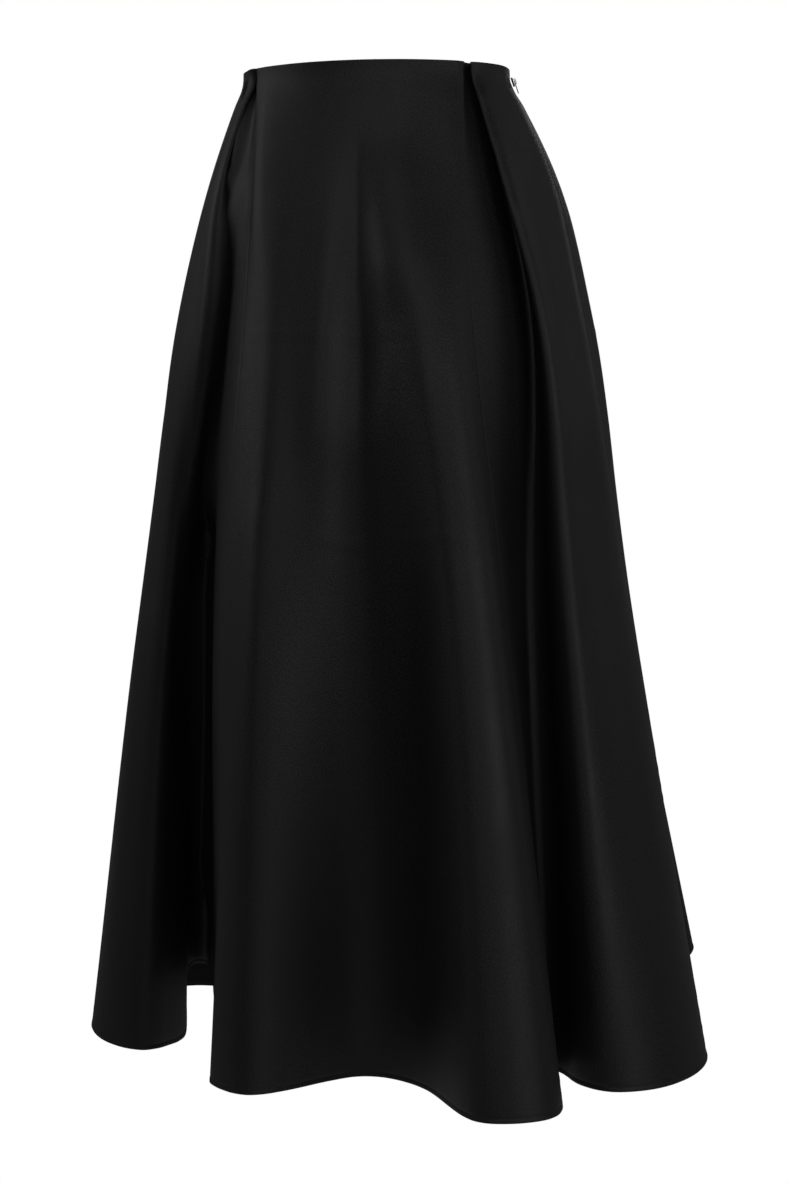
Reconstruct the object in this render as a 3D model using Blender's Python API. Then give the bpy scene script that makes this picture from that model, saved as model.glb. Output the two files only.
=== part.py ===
"""Pleated midi skirt in satin, filled out as on a figure, open at the waist and the hem.

The frame is metres with +Z up. The wearer faces -Y and their left side is +X. The origin is on the
skirt's axis at the waistline that holds it up, a little below the finished top edge.
"""

import math

import bmesh
import bpy
import numpy as np
from mathutils import Matrix, Vector

for old in list(bpy.data.objects):
    bpy.data.objects.remove(old, do_unlink=True)

MM = 0.001

# Driving sizes
LENGTH = 0.906  # finished top edge to the longest hem
TOP_ABOVE_ORIGIN = 0.010
WAIST_HALF_WIDTH = 0.127
WAIST_HALF_DEPTH = 0.095
WALL = 0.0013
TIGHT_BEND_SHARE = 0.7  # the most of a bend's radius that the wall may take up
SEAM_GAP = 0.0003

# Shares of the length at which the folds are placed
LEVELS = {"waist": 0.0, "yoke": 0.10, "hip": 0.2222, "thigh": 0.50, "hem": 1.0}

WAIST_EDGE = 0.010  # share of the length over which the turned waist edge stands straight

# Shares of the length at which the wall has a ring of points, closest where the cloth rounds fastest
RINGS = (
    0.0, 0.012, 0.035, 0.065, 0.10, 0.14, 0.18, 0.2222, 0.28, 0.35, 0.43, 0.52, 0.62, 0.72, 0.82, 0.92, 1.0,
)
STEP_ROUND_HEM = 0.0165  # aimed spacing of the points round the hem
FEWEST_STEPS = 3  # between two folds

# One row for each fold line, counter-clockwise seen from above. A turn is in degrees from centre front
# towards the wearer's left and a radius is in millimetres from the axis. At the waist the folds lie on the
# waist ellipse, moved in by "tuck" where a pleat's layers lie under the outer one. "rise" is how far the
# hem of that fold hangs above the longest hem. A row with a panel name starts that panel at a seam.
FOLD_COLUMNS = (
    "fold", "panel", "waist", "tuck", "yoke", "yoke_r", "hip", "hip_r", "thigh", "thigh_r", "hem", "hem_r",
    "rise",
)
FOLD_ROWS = (
    ("front seam, right", "centre_front", -60, 0, -47, 131, -41, 147, -40, 173, -45, 172, 6),
    ("right flute, side", "", -56, 0, -43, 134, -35, 149, -31, 179, -37, 198, 0),
    ("right flute", "", -50, 0, -37, 133, -27, 150, -22, 185, -20, 211, 0),
    ("right flute, dip", "", -32, 0, -16, 120, -16, 142, -14, 169, -13, 168, 0),
    ("right flute, inner", "", -14, 0, -4, 116, -4, 143, -6, 147, -7, 128, 1),
    ("front valley", "", 1, 0, 3, 113, 4, 127, 4, 121, 7, 94, 3),
    ("left flute, flank", "", 11, 0, 12, 117, 14, 146, 20, 151, 27, 152, 1),
    ("left flute", "", 27, 0, 24, 122, 25, 164, 30, 215, 31, 288, 0),
    ("left flute, shoulder", "", 40, 0, 36, 126, 34, 168, 38, 221, 42, 298, 0),
    ("front seam, left", "side_front_left", 54, 0, 46, 133, 43, 160, 46, 197, 50, 264, 0),
    ("left front pleat, underlay", "", 60, 10.3, 55, 130, 54, 157, 57, 169, 58, 215, 8),
    ("left front pleat, inner fold", "", 67, 9, 69, 133, 71, 156, 69, 159, 67, 184, 9),
    ("left front pleat, return", "", 62.5, 7, 65, 138, 68, 164, 70, 175, 68, 201, 5),
    ("left front pleat, edge", "", 59, 3.2, 60, 144, 63, 175, 66, 191, 64, 226, 2),
    ("left front, crest", "", 61, 0, 63, 151, 65, 183, 67, 209, 64, 262, 0),
    ("left front, dip", "", 71, 0, 75, 149, 76, 179, 79, 214, 71, 288, 0),
    ("left front, rim", "", 79, 2, 88, 157, 88, 184, 91, 223, 84, 301, 0),
    ("left side seam", "side_back_left", 91, 6, 97, 160, 98, 185, 101, 227, 98, 305, 3),
    ("left back, strip", "", 100, 7, 107, 166, 111, 198, 112, 232, 110, 292, 14),
    ("left back, dip", "", 108, 5, 115, 158, 120, 190, 121, 221, 119, 280, 38),
    ("left back, flute", "", 119, 0, 121, 153, 128, 188, 129, 246, 128, 344, 72),
    ("left back pleat, edge", "", 121, 3.2, 124, 147, 133, 181, 136, 235, 136, 326, 68),
    ("left back pleat, return", "", 117.5, 7, 120, 139, 128, 166, 137, 206, 139, 271, 58),
    ("left back pleat, inner fold", "", 113, 9, 116, 133, 125, 153, 136, 181, 142, 225, 48),
    ("left back pleat, underlay", "", 120, 10.3, 127, 128, 136, 150, 144, 175, 150, 217, 38),
    ("back seam, left", "centre_back", 126, 0, 134, 128, 141, 155, 149, 189, 153, 249, 34),
    ("back, left flute", "", 136, 0, 144, 126, 149, 161, 153, 214, 155, 280, 30),
    ("back, left flute, far side", "", 146, 0, 152, 122, 156, 158, 160, 207, 163, 271, 26),
    ("back, left valley", "", 157, 0, 163, 118, 166, 147, 170, 169, 173, 194, 22),
    ("back, middle flute", "", 169, 0, 175, 117, 176, 154, 178, 199, 179, 253, 18),
    ("back, middle flute, far side", "", 177, 0, 182, 118, 184, 155, 187, 198, 189, 249, 16),
    ("back, right valley", "", 189, 0, 193, 117, 194, 144, 196, 165, 198, 188, 14),
    ("back, right flute", "", 202, 0, 204, 122, 203, 158, 204, 206, 204, 265, 16),
    ("back, right flute, far side", "", 214, 0, 213, 125, 210, 160, 211, 210, 212, 274, 18),
    ("back seam, right", "side_back_right", 234, 0, 226, 128, 219, 156, 216, 193, 217, 249, 20),
    ("right back pleat, underlay", "", 240, 10.3, 233, 128, 225, 150, 222, 173, 224, 209, 20),
    ("right back pleat, inner fold", "", 247, 9, 244, 133, 236, 151, 231, 173, 232, 192, 22),
    ("right back pleat, return", "", 242.5, 7, 240, 139, 233, 165, 231, 197, 235, 223, 20),
    ("right back pleat, edge", "", 239, 3.2, 236, 147, 229, 181, 228, 223, 231, 265, 18),
    ("right back, flute", "", 241, 0, 239, 153, 234, 188, 234, 239, 238, 292, 18),
    ("right back, dip", "", 252, 0, 245, 155, 242, 186, 245, 217, 248, 253, 17),
    ("right back, strip", "", 260, 0, 253, 158, 251, 191, 256, 227, 257, 284, 14),
    ("right side seam", "side_front_right", 269, 0, 265, 156, 264, 188, 267, 230, 264, 295, 9),
    ("right side, face", "", 281, 0, 282, 156, 278, 186, 276, 219, 276, 265, 2),
    ("right side, crest", "", 293, 0, 294, 153, 290, 175, 282, 195, 284, 220, 0),
    ("right front pleat, edge", "", 295.5, 4, 299, 146, 300, 158, 277, 179, 266, 193, 0),
    ("right front pleat, return", "", 291, 8, 296, 138, 293, 148, 271, 171, 258, 208, 58),
    ("right front pleat, inner fold", "", 286, 9.5, 294, 131, 291, 140, 270, 159, 250, 201, 60),
    ("right front pleat, underlay", "", 294, 11.5, 305, 130, 306, 143, 294, 153, 270, 162, 46),
)

# The invisible zip in the wearer's left side seam. Its slider is a plate with an arch on its face, and the
# pull's crossbar lies under the arch.
ZIP_SEAM = "left side seam"
ZIP_TOP = 0.005  # below the finished top edge
ZIP_BOTTOM = 0.200
TAPE_HALF_WIDTH = 0.011
TAPE_STEPS = 8
TAPE_GAP = 0.0005
TAPE_THICKNESS = 0.0008
SLIDER_DROP = 0.0115
CLEARANCE = 0.0003
SLIDER_LENGTH = 0.0085
SLIDER_NOSE = 0.0050  # width at the top
SLIDER_TAIL = 0.0036
SLIDER_THICKNESS = 0.0016
ARCH_WIDTH = 0.0012
ARCH_THICKNESS = 0.0006
ARCH_LENGTH = 0.0052
ARCH_OPENING = 0.0017  # clear height under the arch
ARCH_SUNK = 0.0003
PULL_LENGTH = 0.0125
PULL_WIDTH = 0.0042
PULL_NECK = 0.0036
PULL_THICKNESS = 0.0008
EYE_WIDTH = 0.0019
EYE_LENGTH = 0.0036
CROSSBAR = 0.0008
CROSSBAR_BEHIND = 0.0008  # from the middle of the arch up to the crossbar's axis

SATIN_BLACK = (0.0056, 0.0056, 0.0058, 1.0)
TAPE_BLACK = (0.004, 0.004, 0.004, 1.0)
SLIDER_BLACK = (0.010, 0.010, 0.011, 1.0)


def material(name, colour, roughness, metallic=0.0):
    made = bpy.data.materials.new(name)
    made.use_nodes = True
    shader = made.node_tree.nodes["Principled BSDF"]
    shader.inputs["Base Color"].default_value = colour
    shader.inputs["Roughness"].default_value = roughness
    shader.inputs["Metallic"].default_value = metallic
    return made


SATIN = material("black_satin", SATIN_BLACK, 0.42)
TAPE_CLOTH = material("black_zip_tape", TAPE_BLACK, 0.80)
ENAMEL = material("black_enamelled_metal", SLIDER_BLACK, 0.35, 0.6)


def named_rows(columns, rows):
    return [dict(zip(columns, row)) for row in rows]


FOLDS = named_rows(FOLD_COLUMNS, FOLD_ROWS)


def plan_point(turn, radius):
    """A turn in degrees from centre front and a radius give a point of the plan."""
    angle = math.radians(turn)
    return (radius * math.sin(angle), -radius * math.cos(angle))


def waist_radius(turn):
    """The waist ellipse's distance from the axis at this turn."""
    angle = math.radians(turn)
    across = math.sin(angle) / WAIST_HALF_WIDTH
    along = math.cos(angle) / WAIST_HALF_DEPTH
    return 1.0 / math.hypot(across, along)


def fold_points(fold):
    """The plan points of one fold line, one for each level."""
    points = [plan_point(fold["waist"], waist_radius(fold["waist"]) - fold["tuck"] * MM)]
    for level in ("yoke", "hip", "thigh", "hem"):
        points.append(plan_point(fold[level], fold[level + "_r"] * MM))
    return np.array(points)


def end_slope(at, values):
    """The slope at the first of three points, from the parabola through them."""
    first = (values[1] - values[0]) / (at[1] - at[0])
    second = (values[2] - values[1]) / (at[2] - at[1])
    return first - (second - first) * (at[1] - at[0]) / (at[2] - at[0])


def smooth_through(at, values, wanted):
    """A smooth curve through values placed at rising positions, read at the wanted ones."""
    count = len(at)
    slopes = np.empty_like(values)
    for i in range(1, count - 1):
        before = at[i] - at[i - 1]
        after = at[i + 1] - at[i]
        rise_before = (values[i] - values[i - 1]) / before
        rise_after = (values[i + 1] - values[i]) / after
        slopes[i] = (rise_before * after + rise_after * before) / (before + after)
    slopes[0] = end_slope(at, values)
    slopes[-1] = (values[-1] - values[-2]) / (at[-1] - at[-2])
    found = []
    for place in wanted:
        i = min(max(int(np.searchsorted(at, place)) - 1, 0), count - 2)
        width = at[i + 1] - at[i]
        t = (place - at[i]) / width
        start = (1 + 2 * t) * (1 - t) ** 2 * values[i] + t * (1 - t) ** 2 * width * slopes[i]
        end = t * t * (3 - 2 * t) * values[i + 1] + t * t * (t - 1) * width * slopes[i + 1]
        found.append(start + end)
    return np.array(found)


def round_through(points, steps):
    """A closed smooth curve through the points of a plan: a centripetal Catmull-Rom curve.

    Each point may carry more values than its two places in the plan, such as the hem's rise.
    """
    count = len(points)
    curve = []
    for i in range(count):
        before, start, end, after = (points[(i + k) % count] for k in (-1, 0, 1, 2))
        t1 = max(np.linalg.norm((start - before)[:2]), 1e-6) ** 0.5
        t2 = t1 + max(np.linalg.norm((end - start)[:2]), 1e-6) ** 0.5
        t3 = t2 + max(np.linalg.norm((after - end)[:2]), 1e-6) ** 0.5
        for k in range(steps[i]):
            t = t1 + (t2 - t1) * k / steps[i]
            a1 = before + (start - before) * t / t1
            a2 = start + (end - start) * (t - t1) / (t2 - t1)
            a3 = end + (after - end) * (t - t2) / (t3 - t2)
            b1 = a1 + (a2 - a1) * t / t2
            b2 = a2 + (a3 - a2) * (t - t1) / (t3 - t1)
            curve.append(b1 + (b2 - b1) * (t - t1) / (t2 - t1))
    return np.array(curve)


def softened(ring):
    """A closed ring with each point moved half way to the middle of its two neighbours."""
    return (np.roll(ring, 1, axis=0) + 2 * ring + np.roll(ring, -1, axis=0)) / 4


def plan_normals(ring):
    """Unit vectors that point out of the skirt, square to a closed ring of plan points."""
    along = np.roll(ring, -1, axis=0) - np.roll(ring, 1, axis=0)
    out = np.stack([along[:, 1], -along[:, 0]], axis=1)
    return out / np.linalg.norm(out, axis=1, keepdims=True)


def wall_depths(ring):
    """The wall's thickness round a closed ring, less where a bend is too tight for all of it."""
    before, after = np.roll(ring, 1, axis=0), np.roll(ring, -1, axis=0)
    into, out, across = ring - before, after - ring, after - before
    turning = into[:, 0] * out[:, 1] - into[:, 1] * out[:, 0]
    lengths = [np.linalg.norm(side, axis=1) for side in (into, out, across)]
    bend_radius = lengths[0] * lengths[1] * lengths[2] / (2 * np.maximum(turning, 1e-9))
    return np.minimum(WALL, TIGHT_BEND_SHARE * bend_radius)


LEVEL_PLACES = np.array(list(LEVELS.values()))
PLAN_PLACES = [max(0.0, (place - WAIST_EDGE) / (1.0 - WAIST_EDGE)) for place in RINGS]
FOLD_LINES = np.array([smooth_through(LEVEL_PLACES, fold_points(fold), PLAN_PLACES) for fold in FOLDS])
HEM_SPANS = np.linalg.norm(np.roll(FOLD_LINES[:, -1], -1, axis=0) - FOLD_LINES[:, -1], axis=1)
STEPS = [max(FEWEST_STEPS, round(span / STEP_ROUND_HEM)) for span in HEM_SPANS]
RISES = np.array([[fold["rise"] * MM] for fold in FOLDS])


def skirt_surface():
    """The skirt's outer face, as rings of points, with the plan normal and the wall's depth at each."""
    rings = []
    normals = []
    depths = []
    for share, place in enumerate(RINGS):
        folds = np.hstack([FOLD_LINES[:, share], RISES])
        ring = softened(round_through(folds, STEPS))
        drop = place * (LENGTH - np.maximum(ring[:, 2], 0.0))
        height = TOP_ABOVE_ORIGIN - drop
        rings.append(np.column_stack([ring[:, :2], height]))
        flat = plan_normals(ring[:, :2])
        normals.append(np.column_stack([flat, np.zeros(len(flat))]))
        depths.append(wall_depths(ring[:, :2])[:, None])
    return np.array(rings), np.array(normals), np.array(depths)


OUTER, NORMALS, DEPTHS = skirt_surface()
FOLD_COLUMN = np.concatenate([[0], np.cumsum(STEPS)])[:-1]


def add_mesh(name, points, faces, skin):
    mesh = bpy.data.meshes.new(name)
    body = bmesh.new()
    corners = [body.verts.new(point) for point in points]
    for face in faces:
        body.faces.new([corners[i] for i in face])
    bmesh.ops.recalc_face_normals(body, faces=body.faces)
    body.to_mesh(mesh)
    body.free()
    mesh.materials.append(skin)
    mesh.shade_smooth()
    mesh.set_sharp_from_angle(angle=math.radians(50))
    made = bpy.data.objects.new(name, mesh)
    bpy.context.collection.objects.link(made)
    return made


def sheet_solid(name, front, back, skin):
    """A closed wall between two grids of points of the same size."""
    rows, columns = front.shape[:2]
    points = np.concatenate([front.reshape(-1, 3), back.reshape(-1, 3)])
    behind = rows * columns

    def at(row, column, side=0):
        return side * behind + row * columns + column

    faces = []
    for row in range(rows - 1):
        for column in range(columns - 1):
            square = [(row, column), (row + 1, column), (row + 1, column + 1), (row, column + 1)]
            faces.append([at(r, c) for r, c in square])
            faces.append([at(r, c, 1) for r, c in reversed(square)])
    border = [(0, c) for c in range(columns)]
    border += [(r, columns - 1) for r in range(1, rows)]
    border += [(rows - 1, c) for c in range(columns - 2, -1, -1)]
    border += [(r, 0) for r in range(rows - 2, 0, -1)]
    for here, there in zip(border, border[1:] + border[:1]):
        faces.append([at(*here), at(*there), at(*there, 1), at(*here, 1)])
    return add_mesh(name, points, faces, skin)


def panel_columns(start, stop):
    """The columns from one seam to the next, round past the last column where need be."""
    total = OUTER.shape[1]
    return [column % total for column in range(start, stop + 1 + (total if stop < start else 0))]


def panel(name, start, stop):
    """One cut panel, from seam to seam, its edges drawn back by half of the seam's gap."""
    columns = panel_columns(start, stop)
    front = OUTER[:, columns].copy()
    inward = NORMALS[:, columns] * DEPTHS[:, columns]
    for edge, inner in ((0, 1), (-1, -2)):
        into = front[:, inner] - front[:, edge]
        into /= np.linalg.norm(into, axis=1, keepdims=True)
        front[:, edge] += into * SEAM_GAP / 2
    return sheet_solid(name, front, front - inward, SATIN)


SEAMS = [(fold["panel"], column) for fold, column in zip(FOLDS, FOLD_COLUMN) if fold["panel"]]
for (panel_name, seam), (_, next_seam) in zip(SEAMS, SEAMS[1:] + SEAMS[:1]):
    panel(panel_name, seam, next_seam)


def seam_line(fold_name):
    """The column of a named fold line."""
    return FOLD_COLUMN[[fold["fold"] for fold in FOLDS].index(fold_name)]


def ring_at(drop):
    """The skirt's outer ring and its normals at a distance below the top edge, on the wall's flat facets."""
    share = drop / LENGTH
    i = min(int(np.searchsorted(RINGS, share, side="right")) - 1, len(RINGS) - 2)
    t = (share - RINGS[i]) / (RINGS[i + 1] - RINGS[i])
    return OUTER[i] * (1 - t) + OUTER[i + 1] * t, NORMALS[i] * (1 - t) + NORMALS[i + 1] * t


def along_ring(ring, normals, column, distance):
    """The point and the normal a signed distance round the ring from a column."""
    total = len(ring)
    step = 1 if distance > 0 else -1
    left = abs(distance)
    while True:
        here, there = ring[column % total], ring[(column + step) % total]
        span = np.linalg.norm(there - here)
        if left <= span:
            share = left / span
            normal = normals[column % total] * (1 - share) + normals[(column + step) % total] * share
            return here * (1 - share) + there * share, normal / np.linalg.norm(normal)
        left -= span
        column += step


def zip_tape():
    """The closed zip's two tapes as one strip behind the seam, made from the panels' own points."""
    column = seam_line(ZIP_SEAM)
    between = [share * LENGTH for share in RINGS if ZIP_TOP < share * LENGTH < ZIP_BOTTOM]
    near, far = WALL + TAPE_GAP, WALL + TAPE_GAP + TAPE_THICKNESS
    front = []
    back = []
    for drop in [ZIP_TOP] + between + [ZIP_BOTTOM]:
        ring, normals = ring_at(drop)
        places = np.linspace(-TAPE_HALF_WIDTH, TAPE_HALF_WIDTH, TAPE_STEPS + 1)
        found = [along_ring(ring, normals, column, place) for place in places]
        front.append([point - normal * near for point, normal in found])
        back.append([point - normal * far for point, normal in found])
    sheet_solid("zip_tape", np.array(front), np.array(back), TAPE_CLOTH)


zip_tape()


def slider_frame():
    """The slider's place on the seam: local X runs across the seam, Y up along it and Z out of the cloth."""
    column = seam_line(ZIP_SEAM)
    above, below = (ring_at(SLIDER_DROP + side * SLIDER_LENGTH / 2) for side in (-1, 1))
    top, bottom = Vector(above[0][column]), Vector(below[0][column])
    up = (top - bottom).normalized()
    across = up.cross(Vector(above[1][column])).normalized()
    turn = Matrix((across, up, across.cross(up))).transposed().to_4x4()
    return Matrix.Translation((top + bottom) / 2) @ turn


def prism(outline, low, high, place):
    """A closed prism: an outline of flat points, from low to high, with place turning each into a vector."""
    body = bmesh.new()
    ends = [[body.verts.new(place(u, v, w)) for u, v in outline] for w in (low, high)]
    for end in ends:
        body.faces.new(end)
    count = len(outline)
    for i in range(count):
        j = (i + 1) % count
        body.faces.new((ends[0][i], ends[0][j], ends[1][j], ends[1][i]))
    bmesh.ops.recalc_face_normals(body, faces=body.faces)
    return body


def place_object(name, body, frame, skin):
    mesh = bpy.data.meshes.new(name)
    body.to_mesh(mesh)
    body.free()
    mesh.materials.append(skin)
    made = bpy.data.objects.new(name, mesh)
    made.matrix_world = frame
    bpy.context.collection.objects.link(made)
    return made


def zip_slider(frame):
    """The plate on the seam, with its arch joined to it."""
    nose, tail, half = SLIDER_NOSE / 2, SLIDER_TAIL / 2, SLIDER_LENGTH / 2
    outline = [(-nose, half * 0.5), (-tail, -half), (tail, -half), (nose, half * 0.5), (nose * 0.6, half)]
    outline.append((-nose * 0.6, half))
    face = CLEARANCE + SLIDER_THICKNESS
    plate = prism(outline, CLEARANCE, face, lambda u, v, w: (u, v, w))
    slider = place_object("zip_slider", plate, frame, ENAMEL)

    end, inside = ARCH_LENGTH / 2, ARCH_LENGTH / 2 - ARCH_THICKNESS
    foot, crown, under = face - ARCH_SUNK, face + ARCH_OPENING + ARCH_THICKNESS, face + ARCH_OPENING
    corner = ARCH_THICKNESS
    profile = [(-end, foot), (-end, crown - corner), (-end + corner, crown), (end - corner, crown)]
    profile += [(end, crown - corner), (end, foot), (inside, foot), (inside, under)]
    profile += [(-inside, under), (-inside, foot)]
    arch = prism(profile, -ARCH_WIDTH / 2, ARCH_WIDTH / 2, lambda u, v, w: (w, u, v))
    cutter = place_object("arch_to_join", arch, frame, ENAMEL)
    cutter.hide_render = True
    cutter.display_type = "WIRE"
    join = slider.modifiers.new("arch", "BOOLEAN")
    join.operation = "UNION"
    join.object = cutter
    return face + ARCH_OPENING / 2


def zip_pull(frame, height):
    """The pull tab, its origin on the crossbar's axis, hanging down along the seam."""
    top = CROSSBAR / 2
    eye_end = -top - EYE_LENGTH
    half, neck, eye = PULL_WIDTH / 2, PULL_NECK / 2, EYE_WIDTH / 2
    foot = top - PULL_LENGTH
    outer = [(-neck, top), (-neck, eye_end), (-half, foot + 2.2 * half), (-half * 0.72, foot + half * 0.35)]
    outer += [(0.0, foot), (half * 0.72, foot + half * 0.35), (half, foot + 2.2 * half), (neck, eye_end)]
    outer += [(neck, top), (0.0, top)]
    inner = [(-eye, -top), (-eye, eye_end + eye), (-eye, eye_end + eye * 0.6), (-eye * 0.6, eye_end)]
    inner += [(0.0, eye_end), (eye * 0.6, eye_end), (eye, eye_end + eye * 0.6), (eye, eye_end + eye)]
    inner += [(eye, -top), (0.0, -top)]
    body = bmesh.new()
    loops = {}
    for name, outline in (("outer", outer), ("inner", inner)):
        for side in (-1, 1):
            z = side * PULL_THICKNESS / 2
            loops[name, side] = [body.verts.new((x, y, z)) for x, y in outline]
    count = len(outer)
    for i in range(count):
        j = (i + 1) % count
        for first, second in (
            (loops["outer", 1], loops["inner", 1]),
            (loops["inner", -1], loops["outer", -1]),
            (loops["outer", -1], loops["outer", 1]),
            (loops["inner", 1], loops["inner", -1]),
        ):
            body.faces.new((first[i], first[j], second[j], second[i]))
    bmesh.ops.recalc_face_normals(body, faces=body.faces)
    place_object("zip_pull", body, frame @ Matrix.Translation((0.0, CROSSBAR_BEHIND, height)), ENAMEL)


SLIDER_FRAME = slider_frame()
zip_pull(SLIDER_FRAME, zip_slider(SLIDER_FRAME))
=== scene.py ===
"""A pleated midi skirt in heavy black satin, filled out and hollow, in a pale studio."""

import math

import bmesh
import bpy
import numpy as np
from mathutils import Matrix, Vector
from mathutils.kdtree import KDTree


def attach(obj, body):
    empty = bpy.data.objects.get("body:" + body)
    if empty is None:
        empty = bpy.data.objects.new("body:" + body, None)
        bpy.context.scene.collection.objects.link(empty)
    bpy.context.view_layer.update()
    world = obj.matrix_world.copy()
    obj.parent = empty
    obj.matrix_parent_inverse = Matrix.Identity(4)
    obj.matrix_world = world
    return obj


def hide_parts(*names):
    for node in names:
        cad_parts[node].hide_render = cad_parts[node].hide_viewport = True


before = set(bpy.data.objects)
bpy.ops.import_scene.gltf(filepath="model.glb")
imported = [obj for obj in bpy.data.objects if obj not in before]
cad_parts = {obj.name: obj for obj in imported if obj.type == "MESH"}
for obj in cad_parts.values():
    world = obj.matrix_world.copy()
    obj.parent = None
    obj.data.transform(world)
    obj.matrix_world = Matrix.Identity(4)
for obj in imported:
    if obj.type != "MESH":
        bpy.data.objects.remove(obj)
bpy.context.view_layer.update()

# ---------------------------------------------------------------------------------------------
# Camera: a long lens at hip height, a little to the wearer's left of centre front and tilted
# slightly down, as for a catalogue picture of a skirt on an unseen form.
# ---------------------------------------------------------------------------------------------
LENS = 82.6  # mm
CAMERA_TURN = 13.0  # degrees towards the wearer's left
CAMERA_TILT = 3.29  # degrees down
CAMERA_DISTANCE = 2.513
CAMERA_HEIGHT = -0.3215
CAMERA_STEP = 0.0134  # to the camera's right


def studio_place(right, near, height):
    """A place in the studio: right of the skirt's axis and nearer than it, both as the camera sees it."""
    turn = math.radians(CAMERA_TURN)
    x = right * math.cos(turn) + near * math.sin(turn)
    y = right * math.sin(turn) - near * math.cos(turn)
    return Vector((x, y, height))


camera = bpy.data.objects.new("camera", bpy.data.cameras.new("camera"))
bpy.context.collection.objects.link(camera)
camera.data.lens = LENS
camera.location = studio_place(CAMERA_STEP, CAMERA_DISTANCE, CAMERA_HEIGHT)
camera.rotation_euler = (math.radians(90 - CAMERA_TILT), 0, math.radians(CAMERA_TURN))
bpy.context.scene.camera = camera

# ---------------------------------------------------------------------------------------------
# The skirt's form. Six panels of one satin are sewn edge to edge into a flared tube that hangs
# in pleats and flutes. The outer faces of their solids are read back as rows of points, and a
# smooth surface is laid through all of them, so that it runs on across the seams.
# ---------------------------------------------------------------------------------------------
PANELS = (
    "centre_front", "side_front_left", "side_back_left", "centre_back", "side_back_right", "side_front_right",
)  # counter-clockwise seen from above
SAME_POINT = 0.00001
SEAM_REACH = 0.00045  # just over the gap that the solids keep at a seam
SPAN_SHARES = (0, 0.25, 0.5, 0.75)  # points laid in each span of a solid's row
SEAM_SHARES = (0, 0.05, 0.12, 0.24, 0.45, 0.72)  # closer beside a seam
ROW_STEP = 0.0055
EDGE_ROWS = (0.0008, 0.0016, 0.0026, 0.004, 0.006, 0.0085)  # closer rows at the waist edge and the hem


def joined_wall(name):
    """A panel's solid as one joined mesh, and a finder for its points."""
    wall = bmesh.new()
    wall.from_mesh(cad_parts[name].data)
    bmesh.ops.remove_doubles(wall, verts=wall.verts, dist=SAME_POINT)
    finder = KDTree(len(wall.verts))
    for i, point in enumerate(wall.verts):
        finder.insert(point.co, i)
    finder.balance()
    return wall, finder


def steps_from(starts):
    """Each joined point's number of edges from the nearest of the starting points."""
    steps = {point: 0 for point in starts}
    reached = list(starts)
    for point in reached:
        for edge in point.link_edges:
            other = edge.other_vert(point)
            if other not in steps:
                steps[other] = steps[point] + 1
                reached.append(other)
    return steps


def outer_rows(wall, seam_before, seam_after):
    """A panel's outer face as rows of points from the waist to the hem, each from one seam to the next."""
    starts = {point for point in wall.verts if seam_before.find(point.co)[2] < SEAM_REACH}
    finishes = {point for point in wall.verts if seam_after.find(point.co)[2] < SEAM_REACH}
    top = max(point.co.z for point in wall.verts) - SAME_POINT
    closing = [
        face for face in wall.faces
        if starts.issuperset(face.verts) or finishes.issuperset(face.verts)
        or min(point.co.z for point in face.verts) > top
    ]
    bmesh.ops.delete(wall, geom=closing, context="FACES")
    waist = [point for point in wall.verts if point.co.z > top]
    outermost = max(waist, key=lambda point: point.co.xy.length)
    inner_waist = set(waist) - set(walk_along(outermost, waist))
    levels = steps_from([point for point in waist if point not in inner_waist])
    rows = []
    for start in sorted(starts, key=lambda point: levels[point]):
        if len(rows) == levels[start] and start not in inner_waist and levels[start] < len(starts) // 2:
            level = {point for point in levels if levels[point] == levels[start]}
            rows.append([point.co.copy() for point in walk_along(start, level)])
    return rows


def walk_along(start, allowed):
    """The allowed points that can be reached from the start along edges, in order."""
    allowed = set(allowed)
    found = [start]
    seen = {start}
    for point in found:
        for edge in point.link_edges:
            other = edge.other_vert(point)
            if other in allowed and other not in seen:
                seen.add(other)
                found.append(other)
    return found


def cubic(points, lengths, slopes, spans, shares):
    """Points on the cubics that run through the given points: the spans and how far along each."""
    onward = (spans + 1) % len(points)
    reach = lengths[spans]
    share = shares.reshape((-1,) + (1,) * (points.ndim - 1))
    rest = 1 - share
    return (
        (1 + 2 * share) * rest ** 2 * points[spans]
        + share * rest ** 2 * reach * slopes[spans]
        + (1 + 2 * rest) * share ** 2 * points[onward]
        - rest * share ** 2 * reach * slopes[onward]
    )


def spans_of(points, closed):
    """The spans' lengths and the slopes at the points, each slope that of a parabola through three points."""
    ahead = np.roll(points, -1, axis=0) - points
    lengths = np.linalg.norm(ahead, axis=-1, keepdims=True)
    rates = ahead / lengths
    before = np.roll(rates, 1, axis=0)
    length_before = np.roll(lengths, 1, axis=0)
    slopes = (lengths * before + length_before * rates) / (lengths + length_before)
    if not closed:
        slopes[0] = 2 * rates[0] - slopes[1]
        slopes[-1] = 2 * rates[-2] - slopes[-2]
    return lengths, slopes


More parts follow.
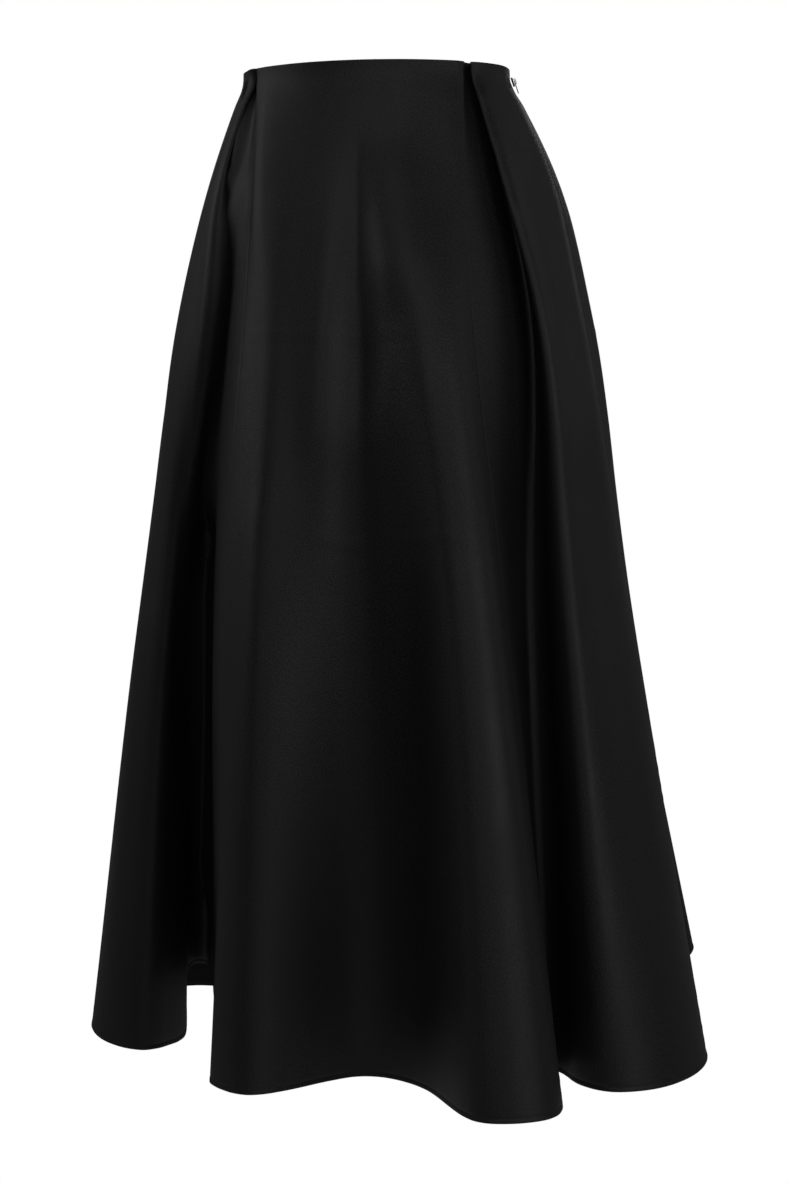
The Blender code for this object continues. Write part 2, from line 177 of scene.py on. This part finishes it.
def skirt_surface():
    """The skirt's outer surface as fine rows of points round the whole ring, and the seams' columns."""
    walls = [joined_wall(name) for name in PANELS]
    finders = [finder for wall, finder in walls]
    grids = []
    for i, (wall, finder) in enumerate(walls):
        grids.append(np.array(outer_rows(wall, finders[i - 1], finders[(i + 1) % len(PANELS)])))
        wall.free()
    ring = []
    seams = [0]
    spans, shares = [], []
    for i, grid in enumerate(grids):
        ring += [(grid[:, :1] + grids[i - 1][:, -1:]) / 2, grid[:, 1:-1]]
        last = grid.shape[1] - 2
        for span in range(last + 1):
            laid = SEAM_SHARES if span == 0 else SPAN_SHARES
            if span == last:
                laid = [0] + [1 - share for share in reversed(SEAM_SHARES[1:])]
            spans += [span + sum(one.shape[1] - 1 for one in grids[:i])] * len(laid)
            shares += laid
        seams.append(len(spans))
    ring = np.concatenate(ring, axis=1).transpose(1, 0, 2)
    lengths, slopes = spans_of(ring, closed=True)
    spans, shares = np.array(spans), np.array(shares)
    rows = cubic(ring, lengths, slopes, spans, shares).transpose(1, 0, 2)
    lengths, slopes = spans_of(rows, closed=False)
    heights = lengths[:-1, :, 0].mean(axis=1)
    places = [
        i + step / math.ceil(height / ROW_STEP)
        for i, height in enumerate(heights)
        for step in range(math.ceil(height / ROW_STEP))
    ]
    places += [drop / heights[0] for drop in EDGE_ROWS]
    places += [len(heights) - drop / heights[-1] for drop in (0,) + EDGE_ROWS]
    places = np.array(sorted(places))
    spans = np.minimum(places.astype(int), len(heights) - 1)
    return cubic(rows, lengths, slopes, spans, places - spans), seams


SURFACE, SEAMS = skirt_surface()


def linear(hex_colour):
    """An sRGB hex colour as the linear one that a shader takes."""
    parts = [int(hex_colour[i:i + 2], 16) / 255 for i in (1, 3, 5)]
    return [part / 12.92 if part <= 0.04045 else ((part + 0.055) / 1.055) ** 2.4 for part in parts] + [1]


def add_node(owner, kind, inputs=(), **settings):
    """A node with its settings; inputs pairs a socket with a value or with another node's socket."""
    node = owner.node_tree.nodes.new(kind)
    for name, value in settings.items():
        setattr(node, name, value)
    for socket, value in inputs:
        if isinstance(value, bpy.types.NodeSocket):
            owner.node_tree.links.new(value, node.inputs[socket])
        else:
            node.inputs[socket].default_value = value
    return node


def new_material(name, **numbers):
    """A material and its Principled shader, with the numbers that are the same all over it."""
    material = bpy.data.materials.new(name)
    material.use_nodes = True
    shader = material.node_tree.nodes["Principled BSDF"]
    for socket, number in numbers.items():
        shader.inputs[socket.replace("_", " ")].default_value = number
    return material, shader


def new_piece(name, form, *materials):
    """An object made of a bmesh, shaded smooth, with its materials."""
    mesh = bpy.data.meshes.new(name)
    form.to_mesh(mesh)
    form.free()
    mesh.shade_smooth()
    for material in materials:
        mesh.materials.append(material)
    piece = bpy.data.objects.new(name, mesh)
    bpy.context.collection.objects.link(piece)
    return piece


# ---------------------------------------------------------------------------------------------
# The panels: heavy black duchesse satin, made 1.1 mm thick so that its edges read. Each hangs
# from the waist in soft flutes, is drawn in a little along its seams, and ends in a turned hem.
# ---------------------------------------------------------------------------------------------
CLOTH = 0.0011  # thickness
EDGE_SHARE = 0.22  # the width eased off a cut edge, as a share of the thickness
EDGE_STEPS = 2
EDGE_ANGLE = 60  # degrees, the least that counts as a cut edge
SEAM_DIP = 0.0003
SEAM_DIP_REACH = 0.0013
PUCKER = 0.00022
PUCKER_REACH = 0.010
PUCKER_PITCH = 0.019
PUCKER_DRIFT = 3  # radians by which the puckers crowd and spread along a seam
PUCKER_CROWDING = 0.018  # down the seam for each radian of that
PUCKER_SWELL = 0.037  # down the seam for each radian of their growing and fading
PUCKER_START = 1.7  # radians
HEM_TURN = 0.0036  # width of the narrow hem, up to its stitches
HEM_RAISE = 0.0003
HEM_STEP = 0.0008  # over which the turned hem rises
STITCH_ABOVE = 0.0004  # the stitching line above the turned hem
STITCH_PULL = 0.0009  # how far the stitches draw the cloth in, to each side
SEAM_HOLD = 0.020  # a seam holds the cloth beside it, so that creases die away this far from it
CREASE_FADE = 2.5  # a crease fades out at its ends over this many times its reach

# Creases by panel: the line's points (across from the first seam, down from the waist), how far
# the crease reaches to each side of it, and its height, below nought for a trough.
CREASES = {
    "centre_front": [
        # the front valley's start, and the soft swell beside it
        ([(0.11, 0.07), (0.115, 0.22)], 0.006, -0.0008),
        ([(0.135, 0.06), (0.165, 0.24)], 0.024, 0.0048),
        ([(0.020, 0.10), (0.034, 0.25), (0.045, 0.42)], 0.013, -0.0009),
        # where the skirt lay folded in store
        ([(-0.02, 0.255), (0.15, 0.25), (0.25, 0.255)], 0.003, 0.0004),
        ([(0.10, 0.43), (0.16, 0.43), (0.30, 0.435)], 0.003, 0.0004),
    ],
    "side_front_left": [
        # the pleat's edge waves a little where it leaves the waist
        ([(0.052, 0.020), (0.060, 0.045)], 0.007, 0.0012),
        ([(0.066, 0.075), (0.074, 0.105)], 0.008, -0.0011),
        ([(0.085, 0.120), (0.096, 0.160)], 0.009, 0.0012),
        ([(0.135, 0.06), (0.15, 0.22), (0.175, 0.42)], 0.016, -0.0012),
        ([(0.19, 0.47), (0.215, 0.62), (0.232, 0.78)], 0.020, -0.0016),
        ([(0.11, 0.257), (0.19, 0.252)], 0.003, 0.0003),
    ],
    "side_front_right": [
        ([(0.030, 0.10), (0.036, 0.30), (0.050, 0.52)], 0.015, -0.0012),
        ([(0.070, 0.50), (0.080, 0.66), (0.100, 0.82)], 0.018, 0.0012),
    ],
    "side_back_left": [
        ([(0.045, 0.09), (0.060, 0.27), (0.090, 0.50)], 0.015, -0.0013),
        ([(0.16, 0.40), (0.20, 0.60), (0.235, 0.83)], 0.019, 0.0015),
        ([(0.03, 0.255), (0.12, 0.250)], 0.003, 0.0003),
    ],
    "centre_back": [
        ([(0.050, 0.07), (0.060, 0.20), (0.062, 0.33)], 0.012, -0.0012),
        ([(0.135, 0.11), (0.150, 0.28), (0.17, 0.46)], 0.016, -0.0015),
        ([(0.22, 0.46), (0.27, 0.66), (0.31, 0.84)], 0.021, 0.0016),
        ([(0.04, 0.252), (0.13, 0.256), (0.21, 0.250)], 0.003, 0.0004),
        ([(0.09, 0.441), (0.19, 0.436), (0.27, 0.440)], 0.003, 0.0004),
    ],
    "side_back_right": [
        ([(0.10, 0.08), (0.12, 0.26), (0.15, 0.47)], 0.014, -0.0012),
        ([(0.19, 0.42), (0.23, 0.62), (0.26, 0.80)], 0.020, 0.0015),
    ],
}

# Folds of the solids that the cloth takes more softly. Each is found as the deepest line in a share of
# its panel's width. It runs down from one depth to another, and is raised by its height.
FOLD_COLUMNS = ("name", "shares", "run", "reach", "height")
FILLED = (
    ("centre_front", (0.30, 0.70), (0.25, 1.03), 0.042, 0.011),  # the front valley
    ("side_front_right", (0.40, 0.85), (-0.06, 0.13), 0.011, 0.012),  # the pleat's slot, at the waist
    ("side_front_right", (0.40, 0.85), (0.09, 0.45), 0.024, 0.019),
    ("side_front_right", (0.40, 0.85), (0.43, 0.82), 0.028, 0.012),
)
EASED = ("centre_front", (0.30, 0.70), (0.05, 1.01), 0.034, 1.0)  # rounded off: its height is a share
EASE_REACH = 0.020
FOLD_REACH = 0.028  # a fold's depth is taken from the cloth this far to each side
FOLD_DEGREE = 5  # of the smooth curve that is laid down a fold


def panel_columns(index):
    """A panel's columns of the surface, both of its seams among them."""
    return np.arange(SEAMS[index], SEAMS[index + 1] + 1) % SURFACE.shape[1]


def cloth_places(face):
    """Each point's place in a panel's cloth: along its row from the first seam, and down from the waist."""
    across = np.linalg.norm(np.diff(face, axis=1), axis=-1).cumsum(axis=1)
    down = np.linalg.norm(np.diff(face, axis=0), axis=-1).cumsum(axis=0)
    return np.pad(across, ((0, 0), (1, 0))), np.pad(down, ((1, 0), (0, 0)))


def soft_step(share):
    """A soft rise from 0 to 1 as the share goes from 0 to 1."""
    share = np.clip(share, 0, 1)
    return share * share * (3 - 2 * share)


def crease_height(u, v, line, reach, height):
    """A soft trough or ridge along a line, at each place in the cloth."""
    line = np.array(line)
    nearest = np.full(u.shape, np.inf)
    along = np.zeros(u.shape)
    passed = 0
    for start, end in zip(line, line[1:]):
        step = end - start
        length = np.hypot(*step)
        share = np.clip(((u - start[0]) * step[0] + (v - start[1]) * step[1]) / length ** 2, 0, 1)
        distance = np.hypot(u - start[0] - share * step[0], v - start[1] - share * step[1])
        closer = distance < nearest
        nearest = np.where(closer, distance, nearest)
        along = np.where(closer, passed + share * length, along)
        passed += length
    fade = soft_step(np.minimum(along, passed - along) / (CREASE_FADE * reach))
    return height * np.exp(-(nearest / reach) ** 2) * fade


def fold_line(name, shares):
    """How far across each row of a panel its deepest fold lies, as a smooth line down the panel."""
    columns = panel_columns(PANELS.index(name))
    u, v = cloth_places(SURFACE[:, columns])
    inward = ((eased(SURFACE, FOLD_REACH) - SURFACE) * outward(SURFACE, FOLD_REACH)).sum(axis=-1)[:, columns]
    within = (u > shares[0] * u[:, -1:]) & (u < shares[1] * u[:, -1:])
    deepest = np.where(within, inward, -np.inf).argmax(axis=1)
    places = np.take_along_axis(u, deepest[:, None], axis=1)[:, 0]
    down = v.mean(axis=1)
    return np.polyval(np.polyfit(down, places, FOLD_DEGREE), down)[:, None]


def fold_height(name, shares, run, reach, height):
    """A soft ridge laid along a panel's own fold, at each place in its cloth."""
    u, v = cloth_places(SURFACE[:, panel_columns(PANELS.index(name))])
    fade = soft_step(np.minimum(v - run[0], run[1] - v) / (CREASE_FADE * reach))
    return height * np.exp(-((u - fold_line(name, shares)) / reach) ** 2) * fade


def seam_height(u, v):
    """The dip at each seam, with small uneven puckers beside it."""
    off = np.minimum(u, u[:, -1:] - u)
    uneven = 0.5 + 0.5 * np.sin(v / PUCKER_SWELL + PUCKER_START)
    puckers = np.sin(2 * math.pi * v / PUCKER_PITCH + PUCKER_DRIFT * np.sin(v / PUCKER_CROWDING))
    return (
        PUCKER * np.exp(-(off / PUCKER_REACH) ** 2) * uneven * puckers
        - SEAM_DIP * np.exp(-(off / SEAM_DIP_REACH) ** 2)
    )


def hem_height(v):
    """The turned hem stands a little proud up to its line of stitches, which is drawn in."""
    up = v[-1:] - v
    turned = np.clip((HEM_TURN - up) / HEM_STEP, 0, 1)
    return HEM_RAISE * turned - HEM_RAISE * np.exp(-((up - HEM_TURN - STITCH_ABOVE) / STITCH_PULL) ** 2)


def outward(surface, reach):
    """The direction out of the cloth at each point, averaged over the reach along its row."""
    across = np.roll(surface, -1, axis=1) - np.roll(surface, 1, axis=1)
    normals = np.cross(np.gradient(surface, axis=0), across)
    normals /= np.linalg.norm(normals, axis=-1, keepdims=True)
    width = np.linalg.norm(across, axis=-1, keepdims=True)
    steps = round(reach / (width.mean() / 2))
    total = sum(np.roll(normals * width, step, axis=1) for step in range(-steps, steps + 1))
    return total / np.linalg.norm(total, axis=-1, keepdims=True)


def eased(surface, reach):
    """The surface averaged over the reach along its rows, which rounds its sharper folds."""
    width = np.linalg.norm(np.roll(surface, -1, axis=1) - surface, axis=-1)
    steps = round(reach / width.mean())
    return sum(np.roll(surface, step, axis=1) for step in range(-steps, steps + 1)) / (2 * steps + 1)


def ease_fold():
    """Round the fold that EASED gives, and leave the rest of the surface as it is."""
    shares = np.zeros(SURFACE.shape[:2])
    fold = dict(zip(FOLD_COLUMNS, EASED))
    shares[:, panel_columns(PANELS.index(fold["name"]))] = fold_height(**fold)
    return SURFACE + shares[..., None] * (eased(SURFACE, EASE_REACH) - SURFACE)


def crease_panels():
    """Raise and sink the surface along each panel's creases, then at the seams and the hem."""
    moves = np.zeros(SURFACE.shape)
    fine = np.zeros(SURFACE.shape[:2])
    filled = [dict(zip(FOLD_COLUMNS, row)) for row in FILLED]
    for i, name in enumerate(PANELS):
        columns = panel_columns(i)
        u, v = cloth_places(SURFACE[:, columns])
        free = soft_step(np.minimum(u, u[:, -1:] - u) / SEAM_HOLD)
        for line, reach, height in CREASES[name]:
            way = outward(SURFACE, reach)[:, columns]
            moves[:, columns] += (free * crease_height(u, v, line, reach, height))[..., None] * way
        for fold in filled:
            if fold["name"] == name:
                way = outward(SURFACE, fold["reach"])[:, columns]
                moves[:, columns] += (free * fold_height(**fold))[..., None] * way
        fine[:, columns] = seam_height(u, v) + hem_height(v)
    creased = SURFACE + moves
    return creased + fine[..., None] * outward(creased, 0)


SURFACE = ease_fold()
SURFACE = crease_panels()


def satin_face():
    """Duchesse satin, dyed black: long warp floats give a broad soft sheen with a fine uneven grain."""
    material, shader = new_material("duchesse_satin_face", Specular_IOR_Level=0.2)
    place = add_node(material, "ShaderNodeTexCoord").outputs["UV"]
    # The grain is about 1.4 mm across and 2.1 mm down the cloth, coarser than real floats, to show.
    floats = add_node(material, "ShaderNodeMapping", [("Vector", place), ("Scale", (700, 480, 1))])
    grain = add_node(material, "ShaderNodeTexNoise", [
        ("Vector", floats.outputs["Vector"]), ("Scale", 1), ("Detail", 2), ("Roughness", 0.6),
    ], noise_dimensions="2D")
    # The twill line of the weave runs up to the right, 1.9 mm from one to the next.
    turned = add_node(material, "ShaderNodeMapping", [
        ("Vector", place), ("Rotation", (0, 0, math.radians(27))), ("Scale", (1000, 1000, 1)),
    ])
    twill = add_node(material, "ShaderNodeTexWave", [
        ("Vector", turned.outputs["Vector"]), ("Scale", 0.165), ("Distortion", 1.5), ("Detail", 1),
        ("Detail Scale", 0.6),
    ])
    weave = add_node(material, "ShaderNodeMix", [
        ("Factor", 0.28), ("A", grain.outputs["Fac"]), ("B", twill.outputs["Fac"]),
    ], data_type="FLOAT")
    sheen = add_node(material, "ShaderNodeMapRange", [
        ("Value", weave.outputs["Result"]), ("From Min", 0.3), ("From Max", 0.7),
    ])
    tint = add_node(material, "ShaderNodeMix", [
        ("Factor", sheen.outputs["Result"]), ("A", linear("#010101")), ("B", linear("#1C1C1C")),
    ], data_type="RGBA")
    # Handling leaves the satin a little duller in patches some 60 mm wide and 110 mm long.
    patches = add_node(material, "ShaderNodeMapping", [("Vector", place), ("Scale", (16, 9, 1))])
    cloud = add_node(material, "ShaderNodeTexNoise", [
        ("Vector", patches.outputs["Vector"]), ("Scale", 1), ("Detail", 2),
    ], noise_dimensions="2D")
    dull = add_node(material, "ShaderNodeMapRange", [
        ("Value", cloud.outputs["Fac"]), ("From Min", 0.3), ("From Max", 0.7), ("To Min", 0.45),
        ("To Max", 0.53),
    ])
    relief = add_node(material, "ShaderNodeBump", [
        ("Height", weave.outputs["Result"]), ("Strength", 0.6), ("Distance", 0.0004),
    ])
    links = material.node_tree.links
    links.new(tint.outputs["Result"], shader.inputs["Base Color"])
    links.new(dull.outputs["Result"], shader.inputs["Roughness"])
    links.new(relief.outputs["Normal"], shader.inputs["Normal"])
    return material


def satin_back():
    """The satin's wrong side: the weft shows, so it is duller, flatter and a little greyer."""
    material, shader = new_material("duchesse_satin_back", Roughness=0.75, Specular_IOR_Level=0.15)
    place = add_node(material, "ShaderNodeTexCoord").outputs["UV"]
    # Weft threads 0.25 mm apart, drawn at 1.2 mm so that they show.
    weft = add_node(material, "ShaderNodeMapping", [("Vector", place), ("Scale", (350, 830, 1))])
    threads = add_node(material, "ShaderNodeTexNoise", [
        ("Vector", weft.outputs["Vector"]), ("Scale", 1), ("Detail", 1),
    ], noise_dimensions="2D")
    tint = add_node(material, "ShaderNodeMix", [
        ("Factor", threads.outputs["Fac"]), ("A", linear("#0B0B0B")), ("B", linear("#1A1A1A")),
    ], data_type="RGBA")
    relief = add_node(material, "ShaderNodeBump", [
        ("Height", threads.outputs["Fac"]), ("Strength", 0.4), ("Distance", 0.0003),
    ])
    material.node_tree.links.new(tint.outputs["Result"], shader.inputs["Base Color"])
    material.node_tree.links.new(relief.outputs["Normal"], shader.inputs["Normal"])
    return material


SATIN_FACE = satin_face()
SATIN_BACK = satin_back()


def cloth_grid(face):
    """A bmesh grid laid on rows of points, with its place in the cloth as UV, in metres."""
    u, v = cloth_places(face)
    last_row, last_column = face.shape[0] - 1, face.shape[1] - 1
    cloth = bmesh.new()
    bmesh.ops.create_grid(cloth, x_segments=last_column, y_segments=last_row, size=1)
    uv = cloth.loops.layers.uv.new("cloth")
    for point in cloth.verts:
        row = round((1 - point.co.y) / 2 * last_row)
        column = round((1 + point.co.x) / 2 * last_column)
        for loop in point.link_loops:
            loop[uv].uv = (u[row, column], -v[row, column])
        point.co = face[row, column]
    return cloth


def thicken(piece, thickness, inner_material=0):
    """Give a piece of cloth its thickness inwards and ease its cut edges."""
    wall = piece.modifiers.new("thickness", "SOLIDIFY")
    wall.thickness = thickness
    wall.offset = -1
    wall.material_offset = inner_material
    edge = piece.modifiers.new("edge", "BEVEL")
    edge.width = thickness * EDGE_SHARE
    edge.segments = EDGE_STEPS
    edge.limit_method = "ANGLE"
    edge.angle_limit = math.radians(EDGE_ANGLE)


def satin_panel(index):
    """One panel, from one seam to the next and from the waist edge to the hem."""
    name = PANELS[index]
    form = SURFACE[:, panel_columns(index)]
    u, v = cloth_places(form)
    cloth = cloth_grid(form)
    area = sum(face.calc_area() for face in cloth.faces)
    piece = new_piece("satin_" + name, cloth, SATIN_FACE, SATIN_BACK)
    thicken(piece, CLOTH, inner_material=1)
    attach(piece, "skirt")
    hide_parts(name)


for panel_index in range(len(PANELS)):
    satin_panel(panel_index)

# ---------------------------------------------------------------------------------------------
# The hem's stitches: one line of black polyester thread, 2.6 mm a stitch, through the narrow
# turned hem all the way round.
# ---------------------------------------------------------------------------------------------
STITCH_PITCH = 0.0026
STITCH_LENGTH = 0.0019
THREAD_RADIUS = 0.00016
THREAD_SIDES = 5
THREAD_PROUD = 0.4  # the thread's axis out of the cloth, as a share of its radius
HEM_ROW = -5  # the row of points on the stitching line


def thread_material():
    """Spun polyester thread, dyed black: a dull twisted yarn."""
    material, shader = new_material("black_polyester_thread", Roughness=0.6, Specular_IOR_Level=0.3)
    place = add_node(material, "ShaderNodeTexCoord").outputs["Object"]
    # The two plies of the yarn turn once in 0.7 mm.
    plies = add_node(material, "ShaderNodeTexWave", [("Vector", place), ("Scale", 450)])
    tint = add_node(material, "ShaderNodeMix", [
        ("Factor", plies.outputs["Fac"]), ("A", linear("#0A0A0A")), ("B", linear("#1C1C1C")),
    ], data_type="RGBA")
    material.node_tree.links.new(tint.outputs["Result"], shader.inputs["Base Color"])
    return material


def hem_stitches():
    """Short lengths of thread laid along the hem's row of points, each a little out of the cloth."""
    line = SURFACE[HEM_ROW]
    out = outward(SURFACE, 0)[HEM_ROW]
    steps = np.linalg.norm(np.roll(line, -1, axis=0) - line, axis=-1)
    places = np.concatenate([[0], steps.cumsum()])
    line, out = np.vstack([line, line[:1]]), np.vstack([out, out[:1]])
    stitches = bmesh.new()
    for place in np.arange(0, places[-1] - STITCH_PITCH, STITCH_PITCH):
        start, end, way = (
            Vector([np.interp(place + along, places, values[:, axis]) for axis in range(3)])
            for along, values in ((0, line), (STITCH_LENGTH, line), (STITCH_LENGTH / 2, out))
        )
        turn = (end - start).to_track_quat("Z", "Y").to_matrix().to_4x4()
        middle = (start + end) / 2 + way * THREAD_RADIUS * THREAD_PROUD
        bmesh.ops.create_cone(
            stitches, cap_ends=True, segments=THREAD_SIDES, radius1=THREAD_RADIUS,
            radius2=THREAD_RADIUS, depth=STITCH_LENGTH, matrix=Matrix.Translation(middle) @ turn,
        )
    piece = new_piece("hem_stitches", stitches, thread_material())
    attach(piece, "skirt")


hem_stitches()

# ---------------------------------------------------------------------------------------------
# Inside: the panels' seam allowances, 11 mm wide and pressed open, wrong side out. They are the
# same cloth as the panels and run from just below the waist edge to just above the hem's edge.
# ---------------------------------------------------------------------------------------------
ALLOWANCE = 0.011
ALLOWANCE_STEPS = (-1, -0.5, 0, 0.5, 1)
ALLOWANCE_CLOTH = 0.0005
ALLOWANCE_TOP = 0.010  # below the waist edge
ALLOWANCE_FOOT = 0.006  # above the hem
ALLOWANCE_REACH = 14  # columns of the surface that are looked at on each side of a seam
INSIDE_GAP = 0.0001
INSIDE_REACH = 0.002  # the way into the skirt is averaged this far to each side


def seam_allowance(index):
    """The pressed-open strip behind one seam."""
    column = SEAMS[index]
    count = SURFACE.shape[1]
    near = np.arange(column - ALLOWANCE_REACH, column + ALLOWANCE_REACH + 1) % count
    inside = SURFACE - outward(SURFACE, INSIDE_REACH) * (CLOTH + INSIDE_GAP)
    rows = []
    depth = np.linalg.norm(np.diff(SURFACE[:, column], axis=0), axis=-1).cumsum()
    for row in range(len(SURFACE)):
        if row > 0 and ALLOWANCE_TOP < depth[row - 1] < depth[-1] - ALLOWANCE_FOOT:
            line = inside[row, near]
            steps = np.linalg.norm(np.diff(line, axis=0), axis=-1)
            places = np.concatenate([[0], steps.cumsum()]) - steps[:ALLOWANCE_REACH].sum()
            wanted = [step * ALLOWANCE for step in ALLOWANCE_STEPS]
            rows.append([[np.interp(at, places, line[:, axis]) for axis in range(3)] for at in wanted])
    strip = np.array(rows)
    u, v = cloth_places(strip)
    piece = new_piece("seam_allowance_%d" % (index + 1), cloth_grid(strip), SATIN_BACK)
    thicken(piece, ALLOWANCE_CLOTH)
    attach(piece, "skirt")


for seam_index in range(len(PANELS)):
    seam_allowance(seam_index)

# ---------------------------------------------------------------------------------------------
# The zip: an invisible zip sewn behind the left side seam, its tape woven of black polyester,
# its slider and pull cast in zinc and enamelled black, worn bright in small scattered spots.
# ---------------------------------------------------------------------------------------------


def zip_tape_material():
    """Woven polyester zip tape: matt, with fine ribs that run down it."""
    material, shader = new_material("black_woven_zip_tape", Roughness=0.85, Specular_IOR_Level=0.2)
    place = add_node(material, "ShaderNodeTexCoord").outputs["Object"]
    # Ribs 0.9 mm apart.
    ribs = add_node(material, "ShaderNodeTexWave", [
        ("Vector", place), ("Scale", 350), ("Distortion", 0.5),
    ], bands_direction="Y")
    tint = add_node(material, "ShaderNodeMix", [
        ("Factor", ribs.outputs["Fac"]), ("A", linear("#080808")), ("B", linear("#141414")),
    ], data_type="RGBA")
    relief = add_node(material, "ShaderNodeBump", [
        ("Height", ribs.outputs["Fac"]), ("Strength", 0.5), ("Distance", 0.0002),
    ])
    material.node_tree.links.new(tint.outputs["Result"], shader.inputs["Base Color"])
    material.node_tree.links.new(relief.outputs["Normal"], shader.inputs["Normal"])
    return material


def enamel_material():
    """Black enamel baked on cast zinc: glossy, with pin-point bright wear where it is handled."""
    material, shader = new_material("black_enamelled_zinc", Coat_Weight=0.4, Coat_Roughness=0.15)
    place = add_node(material, "ShaderNodeTexCoord").outputs["Object"]
    # Worn spots 1 to 2 mm across.
    wear = add_node(material, "ShaderNodeTexNoise", [("Vector", place), ("Scale", 700), ("Detail", 3)])
    worn = add_node(material, "ShaderNodeMapRange", [
        ("Value", wear.outputs["Fac"]), ("From Min", 0.60), ("From Max", 0.66),
    ])
    tint = add_node(material, "ShaderNodeMix", [
        ("Factor", worn.outputs["Result"]), ("A", linear("#0C0C0D")), ("B", linear("#8A8A88")),
    ], data_type="RGBA")
    gloss = add_node(material, "ShaderNodeMapRange", [
        ("Value", worn.outputs["Result"]), ("To Min", 0.32), ("To Max", 0.45),
    ])
    material.node_tree.links.new(tint.outputs["Result"], shader.inputs["Base Color"])
    material.node_tree.links.new(worn.outputs["Result"], shader.inputs["Metallic"])
    material.node_tree.links.new(gloss.outputs["Result"], shader.inputs["Roughness"])
    return material


ENAMEL = enamel_material()
for zip_node, zip_finish in (("zip_tape", zip_tape_material()), ("zip_slider", ENAMEL), ("zip_pull", ENAMEL)):
    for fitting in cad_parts[zip_node].material_slots:
        fitting.material = zip_finish

# ---------------------------------------------------------------------------------------------
# The studio: a low round table of white acrylic, lit from inside, under the hanging skirt, large
# soft lights, and surroundings that look white behind the skirt and throw little light on it.
# ---------------------------------------------------------------------------------------------
TABLE_HEIGHT = -1.35
TABLE_RADIUS = 1.0
TABLE_SIDES = 96
TABLE_GLOW = 0.2
BANK_CENTRE = -0.3  # the height that the banks of light stand about
BANK_AIM = Vector((0, 0, -0.4))


def light_table():
    """The table's round top."""
    top = bmesh.new()
    bmesh.ops.create_circle(top, cap_ends=True, segments=TABLE_SIDES, radius=TABLE_RADIUS)
    bmesh.ops.translate(top, verts=top.verts, vec=(0, 0, TABLE_HEIGHT))
    material, shader = new_material("white_acrylic", Roughness=0.7, Emission_Strength=TABLE_GLOW)
    shader.inputs["Emission Color"].default_value = linear("#FFFFFF")
    # The sheet is a little uneven in thickness, over some 200 mm.
    place = add_node(material, "ShaderNodeTexCoord").outputs["Object"]
    uneven = add_node(material, "ShaderNodeTexNoise", [("Vector", place), ("Scale", 5)])
    tint = add_node(material, "ShaderNodeMix", [
        ("Factor", uneven.outputs["Fac"]), ("A", linear("#EEEEEE")), ("B", linear("#F6F6F6")),
    ], data_type="RGBA")
    material.node_tree.links.new(tint.outputs["Result"], shader.inputs["Base Color"])
    new_piece("acrylic_table", top, material)


light_table()


def soft_light(name, place, aim, size, power):
    """A soft light box that faces the place it is aimed at."""
    light = bpy.data.lights.new(name, "AREA")
    light.shape = "RECTANGLE"
    light.size, light.size_y = size
    light.energy = power
    lamp = bpy.data.objects.new(name, light)
    bpy.context.collection.objects.link(lamp)
    lamp.location = place
    lamp.rotation_euler = (aim - place).to_track_quat("-Z", "Y").to_euler()


def bank(name, turn, rise, distance, size, brightness):
    """A bank of soft light: degrees to the camera's right and up from the hip, its size and its radiance."""
    turn, rise = math.radians(turn), math.radians(rise)
    flat = distance * math.cos(rise)
    height = BANK_CENTRE + distance * math.sin(rise)
    place = studio_place(flat * math.sin(turn), flat * math.cos(turn), height)
    soft_light(name, place, BANK_AIM, size, brightness * math.pi * size[0] * size[1])


bank("front_bank", -8, 28, 2.2, (1.7, 2.0), 1.15)
bank("key_bank", 45, 6, 2.2, (1.3, 1.5), 2.0)
bank("left_bank", -97, 27, 2.1, (1.2, 1.6), 1.6)
bank("back_bank", 176, 30, 2.4, (1.8, 1.8), 1.3)
bank("right_bank", 98, 22, 2.2, (1.6, 1.6), 0.4)


def surroundings(seen, given):
    """A plain white surround: how bright it looks behind the skirt, and how much light it gives."""
    world = bpy.data.worlds.new("white_surround")
    world.use_nodes = True
    background = world.node_tree.nodes["Background"]
    background.inputs["Color"].default_value = linear("#FFFFFF")
    path = add_node(world, "ShaderNodeLightPath")
    strength = add_node(world, "ShaderNodeMapRange", [
        ("Value", path.outputs["Is Camera Ray"]), ("To Min", given), ("To Max", seen),
    ])
    world.node_tree.links.new(strength.outputs["Result"], background.inputs["Strength"])
    bpy.context.scene.world = world


surroundings(seen=1.0, given=0.10)
bpy.context.scene.view_settings.view_transform = "Standard"
